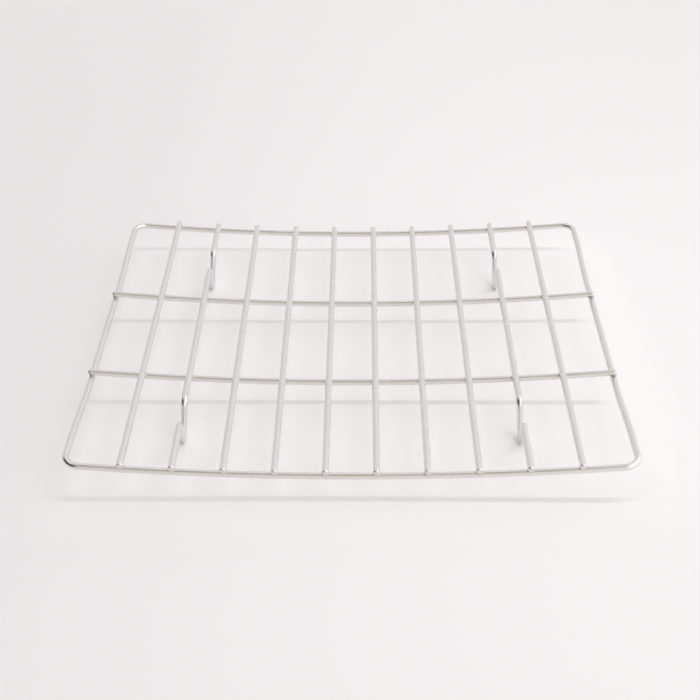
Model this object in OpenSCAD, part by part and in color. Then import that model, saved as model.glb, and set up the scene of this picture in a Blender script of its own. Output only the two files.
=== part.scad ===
// Small wire cooling rack: one closed frame wire, two cross wires and ten long wires,
// resistance welded where they cross. The deck is bowed across its width, and the second
// wire from each side is bent down twice to make the four legs.

/* [Frame] */
// Width over the frame's side wires
rack_w = 250; // [180:1:330]
// Depth over the frame's front and rear rails
rack_d = 200; // [160:1:260]
// Diameter of the frame wire
frame_wire_d = 3.0; // [2.4:0.1:4.2]
// Radius of the frame's corners, at the middle of the wire
corner_r = 6.5; // [6:0.5:14]
// Radius of the bow across the deck, at the middle of the rails
bow_r = 1250; // [900:10:2600]

/* [Grid] */
// Diameter of the long wires that run from front to rear
long_wire_d = 3.0; // [2.0:0.1:3.2]
// Number of long wires
long_count = 10; // [6:1:12]
// Distance from a side wire to the long wire next to it, between their middles
edge_gap = 24.5; // [16:0.5:32]
// Diameter of the two cross wires that run from side to side
cross_wire_d = 3.0; // [2.0:0.1:3.2]
// Distance between the two cross wires
cross_spacing = 64.5; // [40:0.5:80]
// Distance from the middle of the rack forward to the middle of the two cross wires
cross_shift = 2.6; // [0:0.2:5]
// How far one wire sinks into the next at a weld
weld_sink = 0.3; // [0.1:0.05:0.5]

/* [Legs] */
// Drop from a long wire down to the tip of its leg, at the middle of the wire
leg_drop = 16.0; // [12:0.1:30]
// Place of the leg wires, counted from each side
leg_wire_index = 2; // [1:1:3]
// Distance from the middle of the rack to the middle of a leg
leg_y = 62.5; // [50:0.5:80]
// Slope of a leg's two branches
leg_slope = 68; // [60:1:85]
// Radius of the bend where a branch leaves the deck, at the middle of the wire
leg_shoulder_r = 3.5; // [3:0.1:6]
// Radius of the leg's tip, at the middle of the wire
leg_tip_r = 2.5; // [2:0.1:4]

/* [Side wires] */
// Radius of the two gentle bends that take a side wire down under the cross wires
set_down_r = 150; // [60:5:220]
// Straight length between those two bends
set_down_run = 4; // [2:0.5:10]

/* [Forming] */
// Diameter that the wire loses where it is bent
bend_draw = 0.04; // [0.02:0.01:0.1]
// How far a bend runs into the straight beside it
bend_lap = 0.1; // [0.05:0.05:0.3]

/* [Hidden] */
// Facets round a wire, and round a full turn of the bow
wire_fn = 48;
bow_fn = 720;
$fn = wire_fn;
steel = [0.80, 0.78, 0.75];

// Half sizes at the middle of the frame wire
half_w = (rack_w - frame_wire_d) / 2;
half_d = (rack_d - frame_wire_d) / 2;

// Places of the rails and the cross wires from front to rear
rail_y = [-half_d, half_d];
cross_y = [-cross_shift - cross_spacing / 2, -cross_shift + cross_spacing / 2];

// Radii of the wires' middles about the bow's axis, which lies above the deck
long_r = bow_r - (frame_wire_d + long_wire_d) / 2 + weld_sink;
cross_r = long_r + (long_wire_d + cross_wire_d) / 2 - weld_sink;
seat_r = cross_r + (cross_wire_d + frame_wire_d) / 2 - weld_sink;

// Angle of each long wire about the bow's axis, from left to right
long_pitch = 2 * (half_w - edge_gap) / (long_count - 1);
long_x = [for (i = [0 : long_count - 1]) (i - (long_count - 1) / 2) * long_pitch];
long_angle = [for (x = long_x) asin(x / long_r)];
leg_angle = abs(long_angle[leg_wire_index - 1]);

// Height of the bow's axis that sets the leg tips on the ground
bow_z = long_wire_d / 2 + (long_r + leg_drop) * cos(leg_angle);

// Angles about the bow's axis where the rails turn into the corners and the cross wires end
rail_end = asin(half_w / norm([bow_r, corner_r])) - atan(corner_r / bow_r);
cross_end = asin(rack_w / 2 / (cross_r + cross_wire_d / 2));

// Angle that a long wire's seats reach over on each side of it
seat_end = asin(long_wire_d / long_r);

// Height of the side wires at the corners, and under the cross wires that lie on them
corner_z = bow_z - bow_r * cos(rail_end) + corner_r * sin(rail_end);
seat_z = bow_z - sqrt(pow(seat_r, 2) - pow(half_w, 2));

// Bends of a side wire between those two heights
set_down = corner_z - seat_z;
set_down_t = (sqrt(pow(set_down_run, 2) + (4 * set_down_r - set_down) * set_down) - set_down_run)
    / (4 * set_down_r - set_down);
set_down_a = 2 * atan(set_down_t);
set_down_len = 2 * set_down_r * sin(set_down_a) + set_down_run * cos(set_down_a);
set_down_lead = (half_d - corner_r - cross_spacing / 2 - cross_shift - set_down_len) / 2;
set_down_mid = cross_spacing + 2 * cross_shift + 2 * set_down_lead;
side_steps = [
    [set_down_lead, set_down_r, -set_down_a],
    [set_down_run, set_down_r, set_down_a],
    [set_down_mid, set_down_r, set_down_a],
    [set_down_run, set_down_r, -set_down_a],
    [set_down_lead, 0, 0],
];

// Bends of a leg wire from its front end to its rear end
leg_radii = leg_shoulder_r + leg_tip_r;
leg_branch = (leg_drop - leg_radii * (1 - cos(leg_slope))) / sin(leg_slope);
leg_half = leg_radii * sin(leg_slope) + leg_branch * cos(leg_slope);
leg_end_run = rack_d / 2 - leg_y - leg_half;
leg_mid_run = 2 * (leg_y - leg_half);
leg_bends = [
    [leg_branch, leg_tip_r, 2 * leg_slope],
    [leg_branch, leg_shoulder_r, -leg_slope],
];
leg_steps = concat(
    [[leg_end_run, leg_shoulder_r, -leg_slope]],
    leg_bends,
    [[leg_mid_run, leg_shoulder_r, -leg_slope]],
    leg_bends,
    [[leg_end_run, 0, 0]]
);

function is_leg(n) = n == leg_wire_index || n == long_count + 1 - leg_wire_index;
function long_name(n) = !is_leg(n) ? str("long_wire_", n)
    : n == leg_wire_index ? "left_leg_wire" : "right_leg_wire";

// One bend of a wire that starts at the origin along +X and turns left for a positive angle.
// It runs a little into the straight wire at both of its ends.
module bend(d, r, angle) {
    lap = bend_lap / r * 180 / PI;
    turn = abs(angle) + 2 * lap;
    first = angle > 0 ? 270 - lap : 90 + lap - turn;
    translate([0, sign(angle) * r, 0])
        rotate_extrude(angle = turn, start = first)
            translate([r, 0])
                circle(d = d - bend_draw);
}

// A wire along a flat path from the origin along +X.
// Each step is a straight length, then a bend's radius and angle.
module wire_path(d, steps, i = 0) {
    if (i < len(steps)) {
        run = steps[i][0];
        r = steps[i][1];
        angle = steps[i][2];
        rotate([0, 90, 0]) cylinder(d = d, h = run);
        if (r > 0)
            translate([run, 0, 0]) {
                bend(d, r, angle);
                translate([r * sin(abs(angle)), sign(angle) * r * (1 - cos(angle)), 0])
                    rotate([0, 0, angle])
                        wire_path(d, steps, i + 1);
            }
    }
}

// Turns its children about the bow's axis, from the middle of the rack to an angle
module on_bow(angle = 0) {
    translate([0, 0, bow_z]) rotate([0, -angle, 0]) children();
}

// A wire bent to the bow, in an upright plane at y, from its middle to an angle on each side.
// The section is turned so that its seam runs along the wire's side, clear of every seat.
module bowed_wire(d, r, end, y) {
    translate([0, y, 0])
        rotate([90, 0, 0])
            rotate_extrude(angle = 2 * end, start = 270 - end, $fn = bow_fn)
                translate([r, 0])
                    rotate(90)
                        circle(d = d, $fn = wire_fn);
}

module cross_wire(y) {
    color(steel) on_bow() bowed_wire(cross_wire_d, cross_r, cross_end, y);
}

// The front corner on the right, which leaves the rail in the rail's own slope
module front_right_corner() {
    on_bow(rail_end)
        translate([0, -half_d, -bow_r])
            bend(frame_wire_d, corner_r, 90);
}

// The side wire on the right, with a seat in its top for each cross wire that lies on it
module right_side() {
    difference() {
        translate([half_w, corner_r - half_d, corner_z])
            rotate([90, 0, 90])
                wire_path(frame_wire_d, side_steps);
        for (y = cross_y)
            cross_wire(y);
    }
}

module right_half() {
    right_side();
    front_right_corner();
    mirror([0, 1, 0]) front_right_corner();
}

module frame_wire() {
    color(steel) {
        on_bow()
            for (y = rail_y)
                bowed_wire(frame_wire_d, bow_r, rail_end, y);
        right_half();
        mirror([1, 0, 0]) right_half();
    }
}

// A long wire lies on the rails and the cross wires, with a seat for each in its underside
module long_wire(n) {
    color(steel)
        on_bow(long_angle[n - 1])
            difference() {
                translate([0, -rack_d / 2, -long_r])
                    rotate([90, 0, 90])
                        wire_path(long_wire_d, is_leg(n) ? leg_steps : [[rack_d, 0, 0]]);
                for (y = rail_y)
                    bowed_wire(frame_wire_d, bow_r, seat_end, y);
                for (y = cross_y)
                    bowed_wire(cross_wire_d, cross_r, seat_end, y);
            }
}

frame_wire();
cross_wire(cross_y[0]);  // front_cross_wire
cross_wire(cross_y[1]);  // rear_cross_wire
for (n = [1 : long_count])
    long_wire(n);
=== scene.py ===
"""Looks of a small wire cooling rack: drawn steel wires, their welds and a pale studio."""

import math

import bpy
from bpy.props import FloatProperty, FloatVectorProperty, IntProperty, PointerProperty
from mathutils import Euler, Matrix, Vector


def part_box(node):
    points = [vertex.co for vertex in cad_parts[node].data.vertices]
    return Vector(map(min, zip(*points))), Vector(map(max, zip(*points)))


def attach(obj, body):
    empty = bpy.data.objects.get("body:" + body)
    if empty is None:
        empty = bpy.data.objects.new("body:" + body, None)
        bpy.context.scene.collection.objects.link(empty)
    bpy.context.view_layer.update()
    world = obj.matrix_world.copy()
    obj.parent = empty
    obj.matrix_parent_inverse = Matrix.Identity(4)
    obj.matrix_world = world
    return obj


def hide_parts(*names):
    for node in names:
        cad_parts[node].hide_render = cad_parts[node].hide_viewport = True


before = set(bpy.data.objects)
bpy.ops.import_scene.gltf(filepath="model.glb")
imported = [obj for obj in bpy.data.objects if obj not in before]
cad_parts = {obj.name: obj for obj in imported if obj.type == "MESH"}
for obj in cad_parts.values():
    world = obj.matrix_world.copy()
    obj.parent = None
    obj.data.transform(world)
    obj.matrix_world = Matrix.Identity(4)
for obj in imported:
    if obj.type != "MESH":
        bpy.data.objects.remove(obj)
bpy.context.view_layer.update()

bl_info = {
    "name": "Cooling Rack",
    "version": (1, 0, 0),
    "blender": (4, 5, 0),
    "location": "View3D > Sidebar > Cooling Rack",
    "description": "Draws the wires and welds of a cooling rack and sets up its studio",
    "category": "Object",
}

BODY = "root"

# Attributes that the wires carry for their materials
WIRE_COORDINATE = "wire_coordinate"
WELD_NEARNESS = "weld_nearness"
WELD_TURN = "weld_turn"

# Largest distance in metres between a drawn wire's box and the box of the node it stands for
BOX_TOLERANCE = 0.0003

# Facets round a wire and round a weld, and rows of faces up a weld
WIRE_FACETS = 28
WELD_FACETS = 28
WELD_ROWS = 6

# How far a weld reaches into each of its wires, as a share of the weld's sink
WELD_OVERLAP = 0.3

# Smallest and largest width of a weld, as a share of the one that is set
WELD_UNEVEN = (0.94, 1.04)

# Noises of the steel: grains to a metre, and detail
HAZE_NOISE = (55.0, 3.0)
SPECK_NOISE = (1400.0, 2.0)
HEAT_NOISE = (900.0, 3.0)
LUMP_NOISE = (2600.0, 4.0)

# Stretched noises: grains to a metre along each axis, and the detail that they share
FINE_LINES = (7000.0, 7000.0, 8.0)
BROAD_LINES = (1600.0, 1600.0, 3.0)
SHEAR_MARKS = (9000.0, 9000.0, 1500.0)
MARK_DETAIL = 2.0

# Levels at which an effect of the steel starts and is full
STREAK_RANGE = (0.50, 0.72)
HAZE_RANGE = (0.35, 0.70)
SPECK_RANGE = (0.68, 0.76)
HEAT_RANGE = (0.30, 0.95)
BURN_RANGE = (0.74, 1.05)
SHEAR_RANGE = (0.40, 0.70)

# Shares of the fine and the broad lines in the depth of the drawing lines
FINE_DEPTH, BROAD_DEPTH = 0.4, 0.6

# How ragged the edge of the heat tint is, and how near the weld metal itself is to a weld
HEAT_RAGGED = 0.5
METAL_NEARNESS = 0.72

# Share of the heat tint on a wire and on the weld metal
TINT_ON_WIRE, TINT_ON_WELD = 0.35, 0.6

# What an effect adds to the roughness of a wire, a cut end and the weld metal
HAZE_ON_WIRE, SPECKS_ON_WIRE, STREAKS_ON_WIRE, BURN_ON_WIRE = 0.10, 0.08, 0.06, 0.16
HAZE_ON_CUT, HAZE_ON_WELD = 0.12, 0.15

# Depth of the shear marks and of the weld's lumps, in depths of a drawing line
SHEAR_DEPTH, LUMP_DEPTH = 3, 8

# Each wire's steel: what it adds to the roughness, its streaks' contrast and its haze
WIRE_LOOKS = {
    "Frame Steel": (0.0, 0.55, 1.0),
    "Cross Steel": (0.02, 0.60, 0.8),
    "Long Steel": (0.01, 0.50, 1.0),
}


def length(name, description, default):
    """A size in metres."""
    return FloatProperty(
        name=name, description=description, default=default, min=0, precision=5, unit="LENGTH"
    )


def place_along(name, description, default):
    """A place in metres along an axis."""
    return FloatProperty(name=name, description=description, default=default, unit="LENGTH")


def turn(name, description, degrees):
    """An angle, kept in radians."""
    return FloatProperty(
        name=name, description=description, default=math.radians(degrees), unit="ROTATION"
    )


def share(name, description, default):
    """A number from 0 to 1."""
    return FloatProperty(
        name=name, description=description, default=default, min=0, max=1, subtype="FACTOR"
    )


def level(name, description, default):
    """A light level, where 1 shows a colour as it is written."""
    return FloatProperty(name=name, description=description, default=default, min=0)


def colour(name, description, default):
    """A linear colour."""
    return FloatVectorProperty(
        name=name, description=description, default=default, min=0, max=1, subtype="COLOR"
    )


class RackSizes(bpy.types.PropertyGroup):
    """Sizes of the rack's wires, as in its solids, and of its welds and rounded ends"""

    rack_w: length("Rack Width", "Width over the frame's side wires", 0.250)
    rack_d: length("Rack Depth", "Depth over the frame's front and rear rails", 0.200)
    frame_wire_d: length("Frame Wire", "Diameter of the frame wire", 0.0030)
    corner_r: length("Corner Radius", "Radius of the frame's corners", 0.0065)
    bow_r: length("Bow Radius", "Radius of the bow across the deck", 1.250)
    long_wire_d: length("Long Wire", "Diameter of the long wires", 0.0030)
    long_count: IntProperty(
        name="Long Wires", description="Number of long wires", default=10, min=6, max=12
    )
    edge_gap: length("Edge Gap", "Distance from a side wire to the next long wire", 0.0245)
    cross_wire_d: length("Cross Wire", "Diameter of the two cross wires", 0.0030)
    cross_spacing: length("Cross Spacing", "Distance between the two cross wires", 0.0645)
    cross_shift: length("Cross Shift", "How far forward the cross wires lie", 0.0026)
    weld_sink: length("Weld Sink", "How far one wire sinks into the next", 0.0003)
    weld_reach: share("Weld Reach", "End radius, as a share of the thinner diameter", 0.44)
    weld_waist: share("Weld Waist", "Waist radius, as a share of the thinner diameter", 0.385)
    leg_drop: length("Leg Drop", "Drop from a long wire down to the tip of its leg", 0.0160)
    leg_wire_index: IntProperty(
        name="Leg Wire", description="Place of the leg wires, counted from each side", default=2
    )
    leg_y: length("Leg Place", "Distance from the rack's middle to a leg's middle", 0.0625)
    leg_slope: turn("Leg Slope", "Slope of a leg's two branches", 68)
    leg_shoulder_r: length("Leg Shoulder", "Radius where a branch leaves the deck", 0.0035)
    leg_tip_r: length("Leg Tip", "Radius of the leg's tip", 0.0025)
    set_down_r: length("Set-down Radius", "Radius of a side wire's gentle bends", 0.150)
    set_down_run: length("Set-down Run", "Straight between a side wire's gentle bends", 0.004)
    end_round: length("End Rounding", "Radius round the edge of a long wire's end", 0.0005)
    cross_end_round: length("Cross End", "Radius round the edge of a cross wire's end", 0.0008)


class SteelFinish(bpy.types.PropertyGroup):
    """Finish of the drawn steel wire and its welds"""

    steel: colour("Steel", "Colour of the bright drawn wire", (0.790, 0.775, 0.758))
    streak: colour("Streak", "Colour of the drawing streaks", (0.690, 0.675, 0.655))
    heat: colour("Heat Tint", "Colour that the weld's heat leaves", (0.590, 0.535, 0.450))
    weld: colour("Weld", "Colour of the weld metal", (0.640, 0.612, 0.575))
    cut: colour("Cut End", "Colour of the cut ends", (0.760, 0.738, 0.710))
    line_depth: length("Line Depth", "Depth of the drawing lines", 0.0000015)
    roughness: share("Roughness", "Roughness of the bright wire", 0.20)
    cut_roughness: share("Cut Roughness", "Roughness of the cut ends", 0.30)
    weld_roughness: share("Weld Roughness", "Roughness of the weld metal", 0.34)
    heat_reach: length("Heat Reach", "How far the tint reaches from a weld", 0.0040)


class StudioSettings(bpy.types.PropertyGroup):
    """Floor, lights and camera"""

    # Painted light is in the floor's colours: paler to the right and to the rear as a painted pool
    # of light, and paler under the rack as painted light against the wires' shadow
    floor_left: colour("Floor Left", "Colour of the floor on the left", (0.892, 0.864, 0.877))
    floor_right_painted_light: colour("Floor Right", "Colour of the floor on the right", (0.962, 0.931, 0.944))
    floor_rear_painted_light: colour("Floor Rear", "Colour of the floor behind the rack", (0.986, 0.967, 0.980))
    floor_under_painted_light: colour("Floor Under", "Colour of the floor under the rack", (1.0, 0.974, 0.986))
    painted_light_under_share: share("Floor Lift", "How far the floor under the rack takes that colour", 0.92)
    wall: level("Dim Wall", "Level of the light from the wall on the left", 0.778)
    bright_wall: level("Bright Wall", "Level of the light from the wall on the right", 0.945)
    ceiling: level("Ceiling", "Level of the light from the ceiling", 0.93)
    front: level("Front", "Level of the light from the viewer's side", 0.82)
    dark_ceiling: level("Dark Ceiling", "Level of the light from above the viewer", 0.47)
    shade: level("Shade", "Level of the light from the dark place at the left", 0.03)
    left_panel: level("Left Panel", "Level of the light panel high on the left", 1.20)
    right_panel: level("Right Panel", "Level of the light panel on the right", 1.42)
    strip: level("Strip Light", "Level of the strip light overhead", 29.0)
    camera_x: place_along("Camera X", "Camera's place to the right", 0.004753)
    camera_y: place_along("Camera Y", "Camera's place to the rear", -0.444255)
    camera_z: place_along("Camera Z", "Camera's height", 0.348274)
    camera_tilt: turn("Camera Tilt", "How far the camera looks down", 37.7015)
    camera_yaw: turn("Camera Yaw", "How far the camera looks to the right", -0.7857)
    camera_roll: turn("Camera Roll", "How far the camera leans", -0.4396)
    focal_px: FloatProperty(
        name="Focal Length",
        description="Focal length in pixels of the image",
        default=1112.14,
        subtype="PIXEL",
    )


class RackLayout:
    """Places of the wires, worked out from the sizes."""

    # Metres between the points along a straight and along a bend, and a bend's fewest steps
    RING_STEP = 0.0010
    BEND_STEP = 0.0005
    MIN_BEND_STEPS = 4

    # Places of the points in an end's rounding, as shares of it
    END_STEPS = (0.0, 0.04, 0.15, 0.35, 0.65)

    # Points closer than this, in metres, are one
    SAME_POINT = 1e-7

    def __init__(self, sizes):
        s = self.sizes = sizes
        self.half_w = (s.rack_w - s.frame_wire_d) / 2
        self.half_d = (s.rack_d - s.frame_wire_d) / 2
        self.rail_y = (-self.half_d, self.half_d)
        self.cross_y = (
            -s.cross_shift - s.cross_spacing / 2,
            -s.cross_shift + s.cross_spacing / 2,
        )
        self.long_r = s.bow_r - (s.frame_wire_d + s.long_wire_d) / 2 + s.weld_sink
        self.cross_r = self.long_r + (s.long_wire_d + s.cross_wire_d) / 2 - s.weld_sink
        self.seat_r = self.cross_r + (s.cross_wire_d + s.frame_wire_d) / 2 - s.weld_sink
        pitch = 2 * (self.half_w - s.edge_gap) / (s.long_count - 1)
        self.long_angle = [
            math.asin((i - (s.long_count - 1) / 2) * pitch / self.long_r)
            for i in range(s.long_count)
        ]
        leg_angle = abs(self.long_angle[s.leg_wire_index - 1])
        self.bow_z = s.long_wire_d / 2 + (self.long_r + s.leg_drop) * math.cos(leg_angle)
        self.rail_end = math.asin(self.half_w / math.hypot(s.bow_r, s.corner_r)) - math.atan(
            s.corner_r / s.bow_r
        )
        self.cross_end = math.asin(s.rack_w / 2 / (self.cross_r + s.cross_wire_d / 2))
        self.side_end = math.asin(self.half_w / self.cross_r)
        self.corner_z = (
            self.bow_z
            - s.bow_r * math.cos(self.rail_end)
            + s.corner_r * math.sin(self.rail_end)
        )
        self.seat_z = self.bow_z - math.sqrt(self.seat_r**2 - self.half_w**2)

    def long_name(self, index):
        """Name of a long wire's node, counted from 1 on the left."""
        s = self.sizes
        if index == s.leg_wire_index:
            return "left_leg_wire"
        if index == s.long_count + 1 - s.leg_wire_index:
            return "right_leg_wire"
        return f"long_wire_{index}"

    def on_bow(self, radius, angle, y):
        """A point at a radius and angle about the bow's axis."""
        return Vector(
            (radius * math.sin(angle), y, self.bow_z - radius * math.cos(angle))
        )

    def follow(self, steps):
        """Points along a flat path. Each step is a straight run, a bend's radius and its angle."""
        place, heading = Vector((0, 0)), 0.0
        points = [place.copy()]
        for run, radius, angle in steps:
            count = max(1, math.ceil(run / self.RING_STEP))
            ahead = Vector((math.cos(heading), math.sin(heading)))
            points += [place + ahead * (run * (i + 1) / count) for i in range(count)]
            place = points[-1]
            if radius:
                side = math.copysign(1, angle)
                centre = place + Vector((-ahead.y, ahead.x)) * (side * radius)
                steps_needed = math.ceil(radius * abs(angle) / self.BEND_STEP)
                count = max(self.MIN_BEND_STEPS, steps_needed)
                spoke = place - centre
                points += [
                    centre + Matrix.Rotation(angle * (i + 1) / count, 2) @ spoke
                    for i in range(count)
                ]
                place = points[-1]
                heading += angle
        return points

    def with_fine_ends(self, points, rounding):
        """The path with the extra points that an end's rounding needs."""
        fine = [f * rounding for f in self.END_STEPS]
        first = (points[1] - points[0]).normalized()
        last = (points[-2] - points[-1]).normalized()
        inner = [
            p
            for p in points
            if min((p - points[0]).length, (p - points[-1]).length) > rounding
        ]
        return (
            [points[0] + first * f for f in fine]
            + inner
            + [points[-1] + last * f for f in reversed(fine)]
        )

    def bowed_path(self, radius, end, y):
        """A wire bent to the bow, from left to right."""
        count = math.ceil(2 * radius * end / self.RING_STEP)
        return [
            self.on_bow(radius, end * (2 * i / count - 1), y) for i in range(count + 1)
        ]

    def cross_path(self, y):
        """A cross wire from left to right."""
        path = self.bowed_path(self.cross_r, self.cross_end, y)
        return self.with_fine_ends(path, self.sizes.cross_end_round)

    def leg_steps(self):
        """Bends of a leg wire, from its front end to its rear end."""
        s = self.sizes
        radii = s.leg_shoulder_r + s.leg_tip_r
        branch = (s.leg_drop - radii * (1 - math.cos(s.leg_slope))) / math.sin(s.leg_slope)
        half = radii * math.sin(s.leg_slope) + branch * math.cos(s.leg_slope)
        end_run = s.rack_d / 2 - s.leg_y - half
        leg = [
            (branch, s.leg_tip_r, 2 * s.leg_slope),
            (branch, s.leg_shoulder_r, -s.leg_slope),
        ]
        return [
            (end_run, s.leg_shoulder_r, -s.leg_slope),
            *leg,
            (2 * (s.leg_y - half), s.leg_shoulder_r, -s.leg_slope),
            *leg,
            (end_run, 0, 0),
        ]

    def long_path(self, index):
        """A long wire from front to rear; a leg wire dips twice on the way."""
        s = self.sizes
        is_leg = not self.long_name(index).startswith("long")
        flat = self.follow(self.leg_steps() if is_leg else [(s.rack_d, 0, 0)])
        angle = self.long_angle[index - 1]
        path = [self.on_bow(self.long_r - up, angle, along - s.rack_d / 2) for along, up in flat]
        return self.with_fine_ends(path, s.end_round)

    def side_steps(self):
        """Bends of a side wire that take it down under the cross wires and up again."""
        s = self.sizes
        drop, run, radius = self.corner_z - self.seat_z, s.set_down_run, s.set_down_r
        room = 4 * radius - drop
        bend = 2 * math.atan((math.sqrt(run**2 + room * drop) - run) / room)
        reach = 2 * radius * math.sin(bend) + run * math.cos(bend)
        cross_reach = s.cross_spacing / 2 + s.cross_shift
        lead = (self.half_d - s.corner_r - cross_reach - reach) / 2
        return [
            (lead, radius, -bend),
            (run, radius, bend),
            (2 * cross_reach + 2 * lead, radius, bend),
            (run, radius, -bend),
            (lead, 0, 0),
        ]

    def frame_path(self):
        """The closed frame wire, once round from the left end of the front rail."""
        s = self.sizes
        front = self.bowed_path(s.bow_r, self.rail_end, self.rail_y[0])
        slope = Vector((math.cos(self.rail_end), 0, math.sin(self.rail_end)))
        hub = front[-1] + Vector((0, s.corner_r, 0))
        count = math.ceil(s.corner_r * math.pi / 2 / self.BEND_STEP)
        bend = [
            hub + (slope * math.sin(a) - Vector((0, math.cos(a), 0))) * s.corner_r
            for a in (math.pi / 2 * i / count for i in range(1, count + 1))
        ]
        side = [
            Vector((self.half_w, s.corner_r - self.half_d + along, self.corner_z + up))
            for along, up in self.follow(self.side_steps())[1:]
        ]
        rear_bend = [Vector((p.x, -p.y, p.z)) for p in reversed(bend[:-1])]
        rear_end = Vector((front[-1].x, -front[-1].y, front[-1].z))
        right = front[len(front) // 2 :] + bend + side + rear_bend + [rear_end]
        rear = [Vector((p.x, -p.y, p.z)) for p in reversed(front)][1 : (len(front) + 1) // 2]
        half = right + rear
        ring = half + [Vector((-p.x, p.y, p.z)) for p in reversed(half)]
        return [p for i, p in enumerate(ring) if (p - ring[i - 1]).length > self.SAME_POINT]

    def welds(self):
        """Each kind of weld: the diameters above and below it, and the places with their turns."""
        s = self.sizes
        deck = [(angle, Euler((0, -angle, 0))) for angle in self.long_angle]
        ends = [
            (angle, Euler((0, -angle, math.pi / 2))) for angle in (-self.side_end, self.side_end)
        ]

        def spots(seats, radius, rows):
            return [
                (self.on_bow(radius, angle, y), turned) for angle, turned in seats for y in rows
            ]

        on_rail = spots(deck, s.bow_r - s.frame_wire_d / 2, self.rail_y)
        on_cross = spots(deck, self.cross_r - s.cross_wire_d / 2, self.cross_y)
        on_side = spots(ends, self.seat_r - s.frame_wire_d / 2, self.cross_y)
        return {
            "rail_welds": (s.long_wire_d, s.frame_wire_d, on_rail),
            "cross_welds": (s.long_wire_d, s.cross_wire_d, on_cross),
            "side_welds": (s.cross_wire_d, s.frame_wire_d, on_side),
        }


def node(tree, kind, inputs=None, **settings):
    """Adds a node. An input is a value to set, or the output socket of another node to link."""
    made = tree.nodes.new(kind)
    for name, value in settings.items():
        setattr(made, name, value)
    for key, value in (inputs or {}).items():
        if isinstance(value, bpy.types.NodeSocket):
            tree.links.new(value, made.inputs[key])
        else:
            made.inputs[key].default_value = value
    return made


def calc(tree, operation, *values):
    """The output of a Math node."""
    return node(tree, "ShaderNodeMath", dict(enumerate(values)), operation=operation).outputs[0]


def third_side(tree, longest, other):
    """The third side of a right triangle, or 0 where the other side is the longer one."""
    squares = [calc(tree, "POWER", calc(tree, "ABSOLUTE", s), 2.0) for s in (longest, other)]
    return calc(tree, "SQRT", calc(tree, "MAXIMUM", calc(tree, "SUBTRACT", *squares), 0.0))


def ramp(tree, value, low, high):
    """A smooth rise from 0 to 1 while the value goes from low to high."""
    return node(
        tree,
        "ShaderNodeMapRange",
        {"Value": value, "From Min": low, "From Max": high},
        interpolation_type="SMOOTHSTEP",
    ).outputs["Result"]


def noise(tree, place, scale, detail):
    """A noise from 0 to 1."""
    return node(
        tree, "ShaderNodeTexNoise", {"Vector": place, "Scale": scale, "Detail": detail}
    ).outputs["Fac"]


def stretched_noise(tree, place, grains):
    """A noise with its own number of grains along each axis."""
    placed = node(tree, "ShaderNodeMapping", {"Vector": place, "Scale": grains})
    return noise(tree, placed.outputs["Vector"], 1.0, MARK_DETAIL)


def blend_colours(tree, factor, first, second):
    """The colour between two colours."""
    mix = node(tree, "ShaderNodeMix", data_type="RGBA")
    for socket, value in (("Factor_Float", factor), ("A_Color", first), ("B_Color", second)):
        target = next(i for i in mix.inputs if i.identifier == socket)
        if isinstance(value, bpy.types.NodeSocket):
            tree.links.new(value, target)
        else:
            target.default_value = value if socket == "Factor_Float" else (*value, 1)
    return next(o for o in mix.outputs if o.identifier == "Result_Color")


def new_tree(kind, name, inputs, outputs):
    """A node group whose sockets are given as names and kinds, with its end nodes."""
    tree = bpy.data.node_groups.new(name, kind)
    for in_out, sockets in (("INPUT", inputs), ("OUTPUT", outputs)):
        for label, held in sockets:
            tree.interface.new_socket(label, in_out=in_out, socket_type=f"NodeSocket{held}")
    return tree, tree.nodes.new("NodeGroupInput"), tree.nodes.new("NodeGroupOutput")


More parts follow.
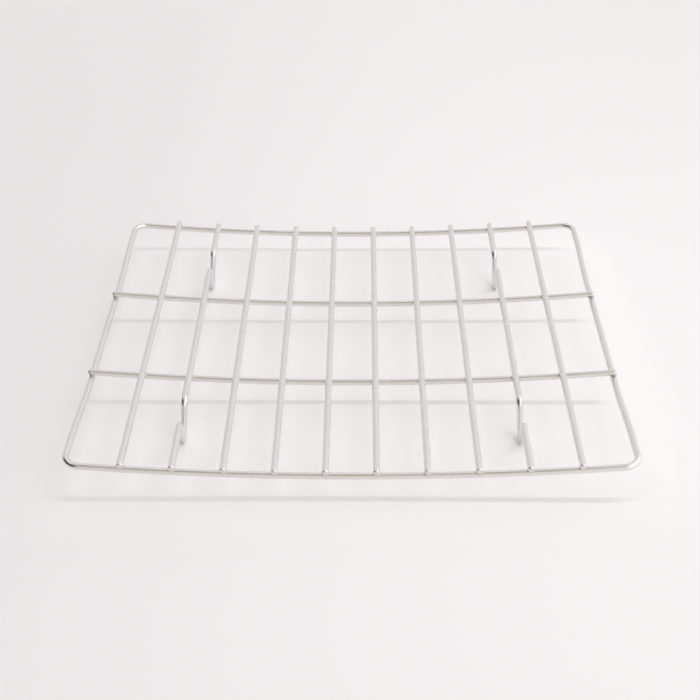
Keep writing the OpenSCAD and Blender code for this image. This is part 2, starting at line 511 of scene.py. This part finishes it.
def wire_tree():
    """Sweeps a round wire along a path, rounds its cut ends and marks it for its materials."""
    tree, given, result = new_tree(
        "GeometryNodeTree",
        "Drawn Wire",
        [
            ("Path", "Geometry"),
            ("Wire Diameter", "Float"),
            ("Facets", "Int"),
            ("End Rounding", "Float"),
            ("Welds", "Object"),
            ("Heat Reach", "Float"),
            ("Wire Material", "Material"),
            ("Cut Material", "Material"),
        ],
        [("Wire", "Geometry")],
    )
    take = given.outputs
    radius = calc(tree, "DIVIDE", take["Wire Diameter"], 2.0)
    path = node(tree, "GeometryNodeMeshToCurve", {"Mesh": take["Path"]})

    # The radius falls along a quarter circle over the rounding at each open end
    along = node(tree, "GeometryNodeSplineParameter").outputs["Length"]
    whole = node(tree, "GeometryNodeSplineLength").outputs["Length"]
    to_end = calc(tree, "MINIMUM", along, calc(tree, "SUBTRACT", whole, along))
    rounding = take["End Rounding"]
    short = calc(tree, "MAXIMUM", calc(tree, "SUBTRACT", rounding, to_end), 0.0)
    lost = calc(tree, "SUBTRACT", rounding, third_side(tree, rounding, short))
    end_scale = calc(tree, "SUBTRACT", 1.0, calc(tree, "DIVIDE", lost, radius))
    closed = node(tree, "GeometryNodeInputSplineCyclic").outputs["Cyclic"]
    scale = node(
        tree,
        "GeometryNodeSwitch",
        {"Switch": closed, "False": end_scale, "True": 1.0},
        input_type="FLOAT",
    )

    kept_along = node(tree, "GeometryNodeCaptureAttribute", {"Geometry": path.outputs["Curve"]})
    kept_along.capture_items.new("FLOAT", "Along")
    tree.links.new(along, kept_along.inputs["Along"])
    section = node(
        tree,
        "GeometryNodeCurvePrimitiveCircle",
        {"Resolution": take["Facets"], "Radius": radius},
    )
    kept_around = node(
        tree, "GeometryNodeCaptureAttribute", {"Geometry": section.outputs["Curve"]}
    )
    kept_around.capture_items.new("FLOAT", "Around")
    around = node(tree, "GeometryNodeSplineParameter").outputs["Factor"]
    tree.links.new(around, kept_around.inputs["Around"])
    swept = node(
        tree,
        "GeometryNodeCurveToMesh",
        {
            "Curve": kept_along.outputs["Geometry"],
            "Profile Curve": kept_around.outputs["Geometry"],
            "Scale": scale.outputs["Output"],
            "Fill Caps": True,
        },
    )

    # Round the wire and along it, in metres
    angle = calc(tree, "MULTIPLY", kept_around.outputs["Around"], math.tau)
    wire_place = node(
        tree,
        "ShaderNodeCombineXYZ",
        {
            "X": calc(tree, "MULTIPLY", calc(tree, "COSINE", angle), radius),
            "Y": calc(tree, "MULTIPLY", calc(tree, "SINE", angle), radius),
            "Z": kept_along.outputs["Along"],
        },
    )
    placed = node(
        tree,
        "GeometryNodeStoreNamedAttribute",
        {
            "Geometry": swept.outputs["Mesh"],
            "Name": WIRE_COORDINATE,
            "Value": wire_place.outputs["Vector"],
        },
        data_type="FLOAT_VECTOR",
        domain="POINT",
    )

    welds = node(tree, "GeometryNodeObjectInfo", {"Object": take["Welds"]})
    nearest = node(
        tree,
        "GeometryNodeProximity",
        {"Geometry": welds.outputs["Geometry"]},
        target_element="POINTS",
    )
    nearness = ramp(tree, nearest.outputs["Distance"], take["Heat Reach"], 0.0)
    heated = node(
        tree,
        "GeometryNodeStoreNamedAttribute",
        {"Geometry": placed.outputs["Geometry"], "Name": WELD_NEARNESS, "Value": nearness},
        data_type="FLOAT",
        domain="POINT",
    )

    # Only a cut end has a face of more than four corners; sockets 2 and 3 take whole numbers
    corners = node(tree, "GeometryNodeCornersOfFace").outputs["Total"]
    is_cut = node(
        tree, "FunctionNodeCompare", {2: corners, 3: 4}, data_type="INT", operation="GREATER_THAN"
    ).outputs["Result"]
    is_round = node(tree, "FunctionNodeBooleanMath", {0: is_cut}, operation="NOT").outputs[0]
    smooth = node(
        tree,
        "GeometryNodeSetShadeSmooth",
        {"Geometry": heated.outputs["Geometry"], "Shade Smooth": is_round},
    )
    whole_wire = node(
        tree, "GeometryNodeRealizeInstances", {"Geometry": smooth.outputs["Geometry"]}
    )
    wire = node(
        tree,
        "GeometryNodeSetMaterial",
        {"Geometry": whole_wire.outputs["Geometry"], "Material": take["Wire Material"]},
    )
    cut = node(
        tree,
        "GeometryNodeSetMaterial",
        {
            "Geometry": wire.outputs["Geometry"],
            "Selection": is_cut,
            "Material": take["Cut Material"],
        },
    )
    tree.links.new(cut.outputs["Geometry"], result.inputs["Wire"])
    return tree


def weld_tree():
    """Sets a ring of squeezed-out weld metal at each point, between a wire and the one below."""
    tree, given, result = new_tree(
        "GeometryNodeTree",
        "Weld Metal",
        [
            ("Places", "Geometry"),
            ("Upper Diameter", "Float"),
            ("Lower Diameter", "Float"),
            ("Weld Sink", "Float"),
            ("Reach", "Float"),
            ("Waist", "Float"),
            ("Seed", "Int"),
            ("Weld Material", "Material"),
        ],
        [("Welds", "Geometry")],
    )
    take = given.outputs
    ring = node(
        tree,
        "GeometryNodeMeshCylinder",
        {"Vertices": WELD_FACETS, "Side Segments": WELD_ROWS, "Radius": 1.0, "Depth": 2.0},
        fill_type="TRIANGLE_FAN",
    )
    at = node(
        tree,
        "ShaderNodeSeparateXYZ",
        {"Vector": node(tree, "GeometryNodeInputPosition").outputs["Position"]},
    ).outputs

    # The ring is narrowest half-way up, and meets each wire along the wire's own surface
    widen = calc(tree, "POWER", calc(tree, "ABSOLUTE", at["Z"]), 2.0)
    span = calc(tree, "SUBTRACT", take["Reach"], take["Waist"])
    reach = calc(tree, "MULTIPLY_ADD", widen, span, take["Waist"])
    x = calc(tree, "MULTIPLY", at["X"], reach)
    y = calc(tree, "MULTIPLY", at["Y"], reach)

    def hollow(diameter, across):
        """How far a round wire's surface falls away, at a distance across the wire."""
        r = calc(tree, "DIVIDE", diameter, 2.0)
        return calc(tree, "SUBTRACT", r, third_side(tree, r, across))

    # Its top stays over its bottom in the middle, where the upper wire sinks into the lower one
    overlap = calc(tree, "MULTIPLY", take["Weld Sink"], WELD_OVERLAP)
    lower = calc(tree, "MULTIPLY", hollow(take["Lower Diameter"], y), -1.0)
    upper = calc(tree, "SUBTRACT", hollow(take["Upper Diameter"], x), take["Weld Sink"])
    upper = calc(tree, "MAXIMUM", upper, calc(tree, "ADD", lower, overlap))
    rise = calc(tree, "MULTIPLY_ADD", at["Z"], 0.5, 0.5)
    height = calc(
        tree,
        "ADD",
        calc(tree, "MULTIPLY_ADD", calc(tree, "SUBTRACT", upper, lower), rise, lower),
        calc(tree, "MULTIPLY", at["Z"], overlap),
    )
    shaped = node(
        tree,
        "GeometryNodeSetPosition",
        {
            "Geometry": ring.outputs["Mesh"],
            "Position": node(
                tree, "ShaderNodeCombineXYZ", {"X": x, "Y": y, "Z": height}
            ).outputs["Vector"],
        },
    )
    smooth = node(
        tree,
        "GeometryNodeSetShadeSmooth",
        {"Geometry": shaped.outputs["Geometry"], "Shade Smooth": True},
    )
    turned = node(
        tree, "GeometryNodeInputNamedAttribute", {"Name": WELD_TURN}, data_type="FLOAT_VECTOR"
    )
    facing = node(tree, "FunctionNodeEulerToRotation", {"Euler": turned.outputs["Attribute"]})
    low, high = WELD_UNEVEN
    uneven = node(
        tree,
        "FunctionNodeRandomValue",
        {"Min": (low, low, 1.0), "Max": (high, high, 1.0), "Seed": take["Seed"]},
        data_type="FLOAT_VECTOR",
    )
    placed = node(
        tree,
        "GeometryNodeInstanceOnPoints",
        {
            "Points": take["Places"],
            "Instance": smooth.outputs["Geometry"],
            "Rotation": facing.outputs["Rotation"],
            "Scale": uneven.outputs["Value"],
        },
    )
    whole = node(tree, "GeometryNodeRealizeInstances", {"Geometry": placed.outputs["Instances"]})
    welded = node(
        tree,
        "GeometryNodeSetMaterial",
        {"Geometry": whole.outputs["Geometry"], "Material": take["Weld Material"]},
    )
    tree.links.new(welded.outputs["Geometry"], result.inputs["Welds"])
    return tree


def point_object(name, points, closed=None):
    """A mesh object of points, joined in a row where closed says whether the row is a ring."""
    mesh = bpy.data.meshes.new(name)
    edges = []
    if closed is not None:
        edges = [(i, i + 1) for i in range(len(points) - 1)]
        if closed:
            edges.append((len(points) - 1, 0))
    mesh.from_pydata([tuple(p) for p in points], edges, [])
    made = bpy.data.objects.new(name, mesh)
    bpy.context.scene.collection.objects.link(made)
    return made


def discard(made):
    """Removes a helper object and its mesh."""
    mesh = made.data
    bpy.data.objects.remove(made)
    bpy.data.meshes.remove(mesh)


def grow(source, tree, settings):
    """The plain mesh that a tree makes from an object, under the object's own name."""
    name = source.name
    modifier = source.modifiers.new(tree.name, "NODES")
    modifier.node_group = tree
    sockets = {i.name: i.identifier for i in tree.interface.items_tree if i.in_out == "INPUT"}
    for label, value in settings.items():
        modifier[sockets[label]] = value
    bpy.context.view_layer.update()
    depsgraph = bpy.context.evaluated_depsgraph_get()
    mesh = bpy.data.meshes.new_from_object(
        source.evaluated_get(depsgraph), preserve_all_data_layers=True, depsgraph=depsgraph
    )
    if not mesh.polygons:
        raise RuntimeError(f"{tree.name} made no faces for {name}")
    source.modifiers.remove(modifier)
    discard(source)
    mesh.name = name
    made = bpy.data.objects.new(name, mesh)
    bpy.context.scene.collection.objects.link(made)
    return made


def node_group(tree, group, inputs):
    """The outputs of a shader node group that is placed in a tree."""
    return node(tree, "ShaderNodeGroup", inputs, node_tree=group).outputs


def shared_group(name, inputs, outputs, build):
    """A shader node group that is built once."""
    found = bpy.data.node_groups.get(name)
    if found:
        return found
    tree, given, result = new_tree("ShaderNodeTree", name, inputs, outputs)
    for label, socket in build(tree, given.outputs).items():
        tree.links.new(socket, result.inputs[label])
    return tree


def drawing_lines():
    """Fine lines that the die leaves along a drawn wire."""

    def build(tree, take):
        fine = stretched_noise(tree, take["Wire Coordinate"], FINE_LINES)
        broad = stretched_noise(tree, take["Wire Coordinate"], BROAD_LINES)
        streaks = ramp(tree, broad, *STREAK_RANGE)
        shallow = calc(tree, "MULTIPLY", fine, FINE_DEPTH)
        return {
            "Streaks": calc(tree, "MULTIPLY", streaks, take["Contrast"]),
            "Height": calc(tree, "MULTIPLY_ADD", broad, BROAD_DEPTH, shallow),
        }

    return shared_group(
        "Drawing Lines",
        [("Wire Coordinate", "Vector"), ("Contrast", "Float")],
        [("Streaks", "Float"), ("Height", "Float")],
        build,
    )


def handling_haze():
    """Soft uneven dulling from washing and handling, with a few small specks."""

    def build(tree, take):
        haze = ramp(tree, noise(tree, take["Place"], *HAZE_NOISE), *HAZE_RANGE)
        specks = ramp(tree, noise(tree, take["Place"], *SPECK_NOISE), *SPECK_RANGE)
        return {"Haze": calc(tree, "MULTIPLY", haze, take["Amount"]), "Specks": specks}

    return shared_group(
        "Handling Haze",
        [("Place", "Vector"), ("Amount", "Float")],
        [("Haze", "Float"), ("Specks", "Float")],
        build,
    )


def weld_heat():
    """Uneven tint that a weld's heat leaves round it."""

    def build(tree, take):
        ragged = noise(tree, take["Place"], *HEAT_NOISE)
        uneven = calc(tree, "MULTIPLY_ADD", ragged, HEAT_RAGGED, -HEAT_RAGGED / 2)
        edge = calc(tree, "ADD", take["Nearness"], uneven)
        return {"Heat": ramp(tree, edge, *HEAT_RANGE), "Burn": ramp(tree, edge, *BURN_RANGE)}

    return shared_group(
        "Weld Heat",
        [("Place", "Vector"), ("Nearness", "Float")],
        [("Heat", "Float"), ("Burn", "Float")],
        build,
    )


def new_metal(name):
    """A metal material, its tree, its shader and the Object coordinates."""
    material = bpy.data.materials.new(name)
    material.use_nodes = True
    tree = material.node_tree
    shader = tree.nodes["Principled BSDF"]
    shader.inputs["Metallic"].default_value = 1.0
    place = node(tree, "ShaderNodeTexCoord").outputs["Object"]
    return material, tree, shader, place


def dress(tree, shader, tone, dull, height, depth):
    """Links a metal's colour, its roughness and its bumps, whose depth is in metres."""
    bump = node(tree, "ShaderNodeBump", {"Height": height, "Distance": depth, "Strength": 1.0})
    tree.links.new(tone, shader.inputs["Base Color"])
    tree.links.new(dull, shader.inputs["Roughness"])
    tree.links.new(bump.outputs["Normal"], shader.inputs["Normal"])


def wire_material(name, finish):
    """Bright drawn wire with drawing lines, haze and a faint tint round its welds."""
    material, tree, shader, place = new_metal(name)
    extra, contrast, haze = WIRE_LOOKS[name]
    coordinate = node(
        tree, "ShaderNodeAttribute", attribute_name=WIRE_COORDINATE, attribute_type="GEOMETRY"
    ).outputs["Vector"]
    nearness = node(
        tree, "ShaderNodeAttribute", attribute_name=WELD_NEARNESS, attribute_type="GEOMETRY"
    ).outputs["Fac"]
    drawn = node_group(
        tree, drawing_lines(), {"Wire Coordinate": coordinate, "Contrast": contrast}
    )
    worn = node_group(tree, handling_haze(), {"Place": place, "Amount": haze})
    heated = node_group(tree, weld_heat(), {"Place": place, "Nearness": nearness})
    streaked = blend_colours(tree, drawn["Streaks"], tuple(finish.steel), tuple(finish.streak))
    tint = calc(tree, "MULTIPLY", heated["Heat"], TINT_ON_WIRE)
    tinted = blend_colours(tree, tint, streaked, tuple(finish.heat))
    dull = finish.roughness + extra
    for mask, amount in (
        (worn["Haze"], HAZE_ON_WIRE),
        (worn["Specks"], SPECKS_ON_WIRE),
        (drawn["Streaks"], STREAKS_ON_WIRE),
        (heated["Burn"], BURN_ON_WIRE),
    ):
        dull = calc(tree, "MULTIPLY_ADD", mask, amount, dull)
    dress(tree, shader, tinted, dull, drawn["Height"], finish.line_depth)
    return material


def cut_material(finish):
    """End face of a sheared wire: fine shear marks across a dull face."""
    material, tree, shader, place = new_metal("Cut Steel")
    worn = node_group(tree, handling_haze(), {"Place": place, "Amount": 1.0})
    marks = stretched_noise(tree, place, SHEAR_MARKS)
    marked = ramp(tree, marks, *SHEAR_RANGE)
    shade = blend_colours(tree, marked, tuple(finish.cut), tuple(finish.weld))
    dull = calc(tree, "MULTIPLY_ADD", worn["Haze"], HAZE_ON_CUT, finish.cut_roughness)
    dress(tree, shader, shade, dull, marks, SHEAR_DEPTH * finish.line_depth)
    return material


def weld_material(finish):
    """Squeezed-out weld metal: duller than the wire, uneven and a little tinted."""
    material, tree, shader, place = new_metal("Weld Steel")
    lumps = noise(tree, place, *LUMP_NOISE)
    worn = node_group(tree, handling_haze(), {"Place": place, "Amount": 1.0})
    heated = node_group(tree, weld_heat(), {"Place": place, "Nearness": METAL_NEARNESS})
    tint = calc(tree, "MULTIPLY", heated["Heat"], TINT_ON_WELD)
    tinted = blend_colours(tree, tint, tuple(finish.weld), tuple(finish.heat))
    dull = calc(tree, "MULTIPLY_ADD", worn["Haze"], HAZE_ON_WELD, finish.weld_roughness)
    dress(tree, shader, tinted, dull, lumps, LUMP_DEPTH * finish.line_depth)
    return material


def shared_material(name, build, *given):
    """A material that is built once."""
    return bpy.data.materials.get(name) or build(*given)


def check_place(made, cad_node):
    """Raises an error if a drawn wire isn't where its node is, or is turned inside out."""
    low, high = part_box(cad_node)
    corners = [Vector(c) for c in made.bound_box]
    for axis in range(3):
        off = max(
            abs(min(c[axis] for c in corners) - low[axis]),
            abs(max(c[axis] for c in corners) - high[axis]),
        )
        if off > BOX_TOLERANCE:
            raise RuntimeError(f"{made.name} is {off * 1000:.2f} mm off along axis {axis}")
    volume = 0.0
    points = made.data.vertices
    for face in made.data.polygons:
        first, *rest = (points[i].co for i in face.vertices)
        volume += sum(first.dot(b.cross(c)) for b, c in zip(rest, rest[1:]))
    if volume <= 0:
        raise RuntimeError(f"{made.name} has its faces turned inwards")


def rack_settings(context):
    """The sizes and the finish that are set on the scene."""
    return context.scene.rack_sizes, context.scene.steel_finish


def draw_wire(context, cad_node, path, diameter, rounding, material):
    """Draws one wire along its path, in place of its node. Without a rounding it is a ring."""
    sizes, finish = rack_settings(context)
    kinds = RackLayout(sizes).welds().values()
    welds = point_object("weld_places", [place for *_, spots in kinds for place, _ in spots])
    source = point_object(f"drawn_{cad_node}", path, closed=not rounding)
    tree = bpy.data.node_groups.get("Drawn Wire") or wire_tree()
    made = grow(
        source,
        tree,
        {
            "Wire Diameter": diameter,
            "Facets": WIRE_FACETS,
            "End Rounding": rounding,
            "Welds": welds,
            "Heat Reach": finish.heat_reach,
            "Wire Material": material,
            "Cut Material": shared_material("Cut Steel", cut_material, finish),
        },
    )
    discard(welds)
    check_place(made, cad_node)
    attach(made, BODY)
    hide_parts(cad_node)


class RACK_OT_frame_wire(bpy.types.Operator):
    """Draws the closed frame wire round the rack"""

    bl_idname = "rack.frame_wire"
    bl_label = "Frame Wire"

    def execute(self, context):
        sizes, finish = rack_settings(context)
        steel = wire_material("Frame Steel", finish)
        path = RackLayout(sizes).frame_path()
        draw_wire(context, "frame_wire", path, sizes.frame_wire_d, 0.0, steel)
        return {"FINISHED"}


class RACK_OT_cross_wires(bpy.types.Operator):
    """Draws the two cross wires that run from side to side"""

    bl_idname = "rack.cross_wires"
    bl_label = "Cross Wires"

    def execute(self, context):
        sizes, finish = rack_settings(context)
        steel = wire_material("Cross Steel", finish)
        layout, rounding = RackLayout(sizes), sizes.cross_end_round
        for name, y in zip(("front_cross_wire", "rear_cross_wire"), layout.cross_y):
            path = layout.cross_path(y)
            draw_wire(context, name, path, sizes.cross_wire_d, rounding, steel)
        return {"FINISHED"}


class RACK_OT_long_wires(bpy.types.Operator):
    """Draws the long wires that run from front to rear, the leg wires among them"""

    bl_idname = "rack.long_wires"
    bl_label = "Long Wires and Legs"

    def execute(self, context):
        sizes, finish = rack_settings(context)
        steel = wire_material("Long Steel", finish)
        layout, rounding = RackLayout(sizes), sizes.end_round
        for index in range(1, sizes.long_count + 1):
            name, path = layout.long_name(index), layout.long_path(index)
            draw_wire(context, name, path, sizes.long_wire_d, rounding, steel)
        return {"FINISHED"}


class RACK_OT_welds(bpy.types.Operator):
    """Sets the weld metal at every place where two wires cross"""

    bl_idname = "rack.welds"
    bl_label = "Welds"

    def execute(self, context):
        sizes, finish = rack_settings(context)
        steel = weld_material(finish)
        tree = bpy.data.node_groups.get("Weld Metal") or weld_tree()
        kinds = RackLayout(sizes).welds()
        for seed, (name, (upper, lower, spots)) in enumerate(kinds.items()):
            source = point_object(name, [place for place, _ in spots])
            turns = source.data.attributes.new(WELD_TURN, "FLOAT_VECTOR", "POINT")
            turns.data.foreach_set("vector", [a for _, turned in spots for a in turned])
            thinner = min(upper, lower)
            made = grow(
                source,
                tree,
                {
                    "Upper Diameter": upper,
                    "Lower Diameter": lower,
                    "Weld Sink": sizes.weld_sink,
                    "Reach": sizes.weld_reach * thinner,
                    "Waist": sizes.weld_waist * thinner,
                    "Seed": seed,
                    "Weld Material": steel,
                },
            )
            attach(made, BODY)
        return {"FINISHED"}


# Each part of the room's light, laid over the ones before it: the name of its level, its tint
# and its bounds. A bound is an axis, and how far along it the direction of the light goes where
# the part starts and where it is full.
ROOM_LIGHT = (
    ("wall", (1.0, 0.982, 1.01), ()),
    ("bright_wall", (1.0, 0.982, 1.01), (("X", -0.75, 0.75),)),
    ("ceiling", (1.0, 0.99, 0.98), (("Z", 0.62, 0.92),)),
    ("front", (1.0, 0.935, 0.85), (("Y", -0.05, -0.55),)),
    ("dark_ceiling", (1.0, 0.94, 0.87), (("Y", 0.42, -0.05), ("Z", 0.58, 0.86))),
    ("shade", (1.0, 0.92, 0.85), (("X", -0.18, -0.50), ("Y", 0.50, 0.25), ("Z", 0.97, 0.80))),
    (
        "left_panel",
        (1.0, 1.0, 1.0),
        (("X", -0.25, -0.45), ("Y", 0.68, 0.45), ("Y", -0.35, -0.05), ("Z", 0.72, 0.85)),
    ),
    ("right_panel", (1.0, 1.0, 1.0), (("X", 0.05, 0.45), ("Y", 0.68, 0.45))),
)


def room_light(world, studio):
    """Soft light from all round, with a panel on each side and two dark places."""
    world.use_nodes = True
    tree = world.node_tree
    tree.nodes.clear()
    direction = node(
        tree,
        "ShaderNodeSeparateXYZ",
        {"Vector": node(tree, "ShaderNodeTexCoord").outputs["Generated"]},
    ).outputs
    tone = None
    for name, tint, bounds in ROOM_LIGHT:
        lit = tuple(c * getattr(studio, name) for c in tint)
        mask = None
        for axis, start, full in bounds:
            part = ramp(tree, direction[axis], start, full)
            mask = calc(tree, "MULTIPLY", mask, part) if mask else part
        tone = blend_colours(tree, mask, tone, lit) if mask else lit
    background = node(tree, "ShaderNodeBackground", {"Color": tone})
    output = node(tree, "ShaderNodeOutputWorld")
    tree.links.new(background.outputs["Background"], output.inputs["Surface"])


# Places in metres where the floor's painted light starts and where it is strongest: to the right
# and to the rear, where a pool of light is painted on the floor, and under the rack, where painted
# light makes up for the wires' shadow, counted outwards from the rack's edge
PAINTED_LIGHT_RIGHT = (-0.22, 0.14)
PAINTED_LIGHT_REAR = (0.08, 0.60)
PAINTED_LIGHT_UNDER_EDGE = (0.035, -0.015)

# Share of the rear's painted light that the floor takes on its left
PAINTED_REAR_LIGHT_ON_LEFT = 0.60

FLOOR_ROUGHNESS = 0.9
FLOOR_SPECULAR = 0.1


def floor_material_with_painted_light(studio, sizes):
    """Pale matt floor with painted light: a little paler to the right and to the rear as a painted
    pool of light, and under the rack as painted light against the wires' shadow.
    """
    material = bpy.data.materials.new("Pale Floor")
    material.use_nodes = True
    tree = material.node_tree
    shader = tree.nodes["Principled BSDF"]
    shader.inputs["Roughness"].default_value = FLOOR_ROUGHNESS
    shader.inputs["Specular IOR Level"].default_value = FLOOR_SPECULAR
    place = node(tree, "ShaderNodeTexCoord").outputs["Object"]
    place = node(tree, "ShaderNodeSeparateXYZ", {"Vector": place}).outputs
    # Painted light: the floor is painted paler to the right and to the rear, as a pool of light
    right = ramp(tree, place["X"], *PAINTED_LIGHT_RIGHT)
    near = blend_colours(tree, right, tuple(studio.floor_left), tuple(studio.floor_right_painted_light))
    across = calc(tree, "MULTIPLY_ADD", right, 1 - PAINTED_REAR_LIGHT_ON_LEFT, PAINTED_REAR_LIGHT_ON_LEFT)
    away = calc(tree, "MULTIPLY", ramp(tree, place["Y"], *PAINTED_LIGHT_REAR), across)
    tone = blend_colours(tree, away, near, tuple(studio.floor_rear_painted_light))

    # Painted light: paler under the rack, to make up for the light that the wires hold off
    covered = [
        ramp(tree, calc(tree, "ABSOLUTE", place[axis]), *(half + edge for edge in PAINTED_LIGHT_UNDER_EDGE))
        for axis, half in (("X", sizes.rack_w / 2), ("Y", sizes.rack_d / 2))
    ]
    lift = calc(tree, "MULTIPLY", calc(tree, "MULTIPLY", *covered), studio.painted_light_under_share)
    tone = blend_colours(tree, lift, tone, tuple(studio.floor_under_painted_light))
    tree.links.new(tone, shader.inputs["Base Color"])
    return material


def area_light(name, place, size, radiance):
    """A lamp that shines down, with the same light from all of its area, and isn't seen itself."""
    lamp = bpy.data.lights.new(name, "AREA")
    lamp.shape = "RECTANGLE"
    lamp.size, lamp.size_y = size
    lamp.energy = radiance * math.pi * size[0] * size[1]
    made = bpy.data.objects.new(name, lamp)
    bpy.context.scene.collection.objects.link(made)
    made.location = place
    made.visible_camera = False
    made.visible_glossy = False


class RACK_OT_studio(bpy.types.Operator):
    """Sets the pale floor, the lights and the camera"""

    bl_idname = "rack.studio"
    bl_label = "Studio"

    # Metres
    FLOOR_SIZE = 8.0
    STRIP_PLACE = (0.21, -0.03, 0.60)
    STRIP_SIZE = (0.58, 0.012)
    NEAR_CLIP = 0.01

    SENSOR_WIDTH_MM = 36
    IMAGE_WIDTH_PX = 700

    def execute(self, context):
        scene = context.scene
        studio = scene.studio_settings
        scene.view_settings.view_transform = "Standard"
        room_light(bpy.data.worlds.new("Room"), studio)
        scene.world = bpy.data.worlds["Room"]

        half = self.FLOOR_SIZE / 2
        mesh = bpy.data.meshes.new("floor")
        mesh.from_pydata(
            [(-half, -half, 0), (half, -half, 0), (half, half, 0), (-half, half, 0)],
            [],
            [(0, 1, 2, 3)],
        )
        floor = bpy.data.objects.new("floor", mesh)
        mesh.materials.append(floor_material_with_painted_light(studio, scene.rack_sizes))
        scene.collection.objects.link(floor)

        area_light("strip", self.STRIP_PLACE, self.STRIP_SIZE, studio.strip)
        self.place_camera(scene, studio)
        return {"FINISHED"}

    def place_camera(self, scene, studio):
        """Sets the camera from its place, its three turns and its focal length."""
        tilt, yaw, roll = studio.camera_tilt, studio.camera_yaw, studio.camera_roll
        ahead = Vector(
            (
                math.sin(yaw) * math.cos(tilt),
                math.cos(yaw) * math.cos(tilt),
                -math.sin(tilt),
            )
        )
        right = Vector((math.cos(yaw), -math.sin(yaw), 0))
        up = right.cross(ahead)
        right, up = (
            math.cos(roll) * right + math.sin(roll) * up,
            math.cos(roll) * up - math.sin(roll) * right,
        )
        data = bpy.data.cameras.new("camera")
        data.sensor_width = self.SENSOR_WIDTH_MM
        data.lens = studio.focal_px * self.SENSOR_WIDTH_MM / self.IMAGE_WIDTH_PX
        data.clip_start = self.NEAR_CLIP
        camera = bpy.data.objects.new("camera", data)
        scene.collection.objects.link(camera)
        turned = Matrix((right, up, -ahead)).transposed().to_4x4()
        place = Vector((studio.camera_x, studio.camera_y, studio.camera_z))
        camera.matrix_world = Matrix.Translation(place) @ turned
        scene.camera = camera


class RACK_PT_panel(bpy.types.Panel):
    """Sizes, finish and studio of the rack, with a button for each step"""

    bl_idname = "RACK_PT_panel"
    bl_label = "Cooling Rack"
    bl_space_type = "VIEW_3D"
    bl_region_type = "UI"
    bl_category = "Cooling Rack"

    def draw(self, context):
        scene = context.scene
        for operator in OPERATORS:
            self.layout.operator(operator.bl_idname)
        for group in (scene.rack_sizes, scene.steel_finish, scene.studio_settings):
            box = self.layout.box()
            for name in group.__annotations__:
                box.prop(group, name)


GROUPS = {
    "rack_sizes": RackSizes,
    "steel_finish": SteelFinish,
    "studio_settings": StudioSettings,
}
OPERATORS = (
    RACK_OT_studio,
    RACK_OT_frame_wire,
    RACK_OT_cross_wires,
    RACK_OT_long_wires,
    RACK_OT_welds,
)


def register():
    """Registers the classes and hangs their settings on the scene."""
    for cls in (*GROUPS.values(), *OPERATORS, RACK_PT_panel):
        bpy.utils.register_class(cls)
    for name, cls in GROUPS.items():
        setattr(bpy.types.Scene, name, PointerProperty(type=cls))


def unregister():
    """Takes off the settings and the classes."""
    for name in GROUPS:
        delattr(bpy.types.Scene, name)
    for cls in reversed((*GROUPS.values(), *OPERATORS, RACK_PT_panel)):
        bpy.utils.unregister_class(cls)


def main():
    """Draws the rack in its studio."""
    register()
    bpy.ops.rack.studio()
    bpy.ops.rack.frame_wire()
    bpy.ops.rack.cross_wires()
    bpy.ops.rack.long_wires()
    bpy.ops.rack.welds()


if __name__ == "__main__":
    main()
